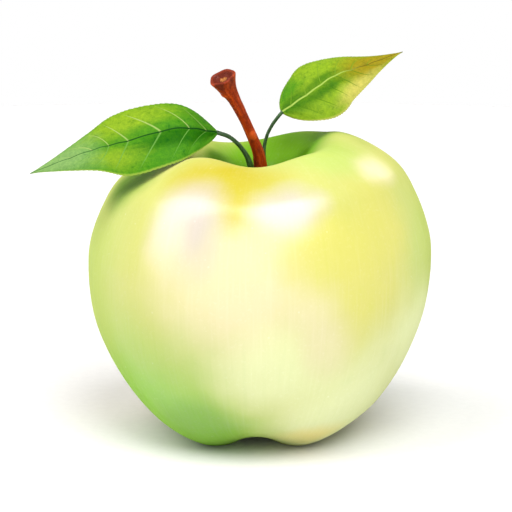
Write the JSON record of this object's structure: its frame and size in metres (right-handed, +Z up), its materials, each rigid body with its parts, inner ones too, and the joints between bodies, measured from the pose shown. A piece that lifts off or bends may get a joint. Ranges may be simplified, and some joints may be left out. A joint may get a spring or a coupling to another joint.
{
  "type": "apple",
  "caption": "Whole rounded apple with a dished top and base, a short flared woody stem, and two pointed leaves on thin stalks.",
  "frame": {"origin": "bottom centre of the bounding box of the whole piece, in the plane the fruit rests on", "axes": "+Z up; +X from the long leaf's side towards the short leaf's side; +Y towards the back, away from the way the stem leans"},
  "size_m": [0.0943, 0.0779, 0.0906],
  "materials": {
    "skin": "glossy waxy skin",
    "stem_bark": "satin bark",
    "left_leaf_blade": "satin leaf",
    "left_stalk": "satin",
    "right_leaf_blade": "satin leaf",
    "right_stalk": "satin",
    "dried_sepal": "dull, dried",
    "dried_stamen": "dull, dried"
  },
  "bodies": {
    "root": {"fruit": "skin", "stem": "stem_bark", "left_leaf": "left_leaf_blade", "left_leaf_stalk": "left_stalk", "right_leaf": "right_leaf_blade", "right_leaf_stalk": "right_stalk", "sepal_1": "dried_sepal", "sepal_2": "dried_sepal", "sepal_3": "dried_sepal", "sepal_4": "dried_sepal", "sepal_5": "dried_sepal", "dried_stamens": "dried_stamen"}
  },
  "joints": []
}
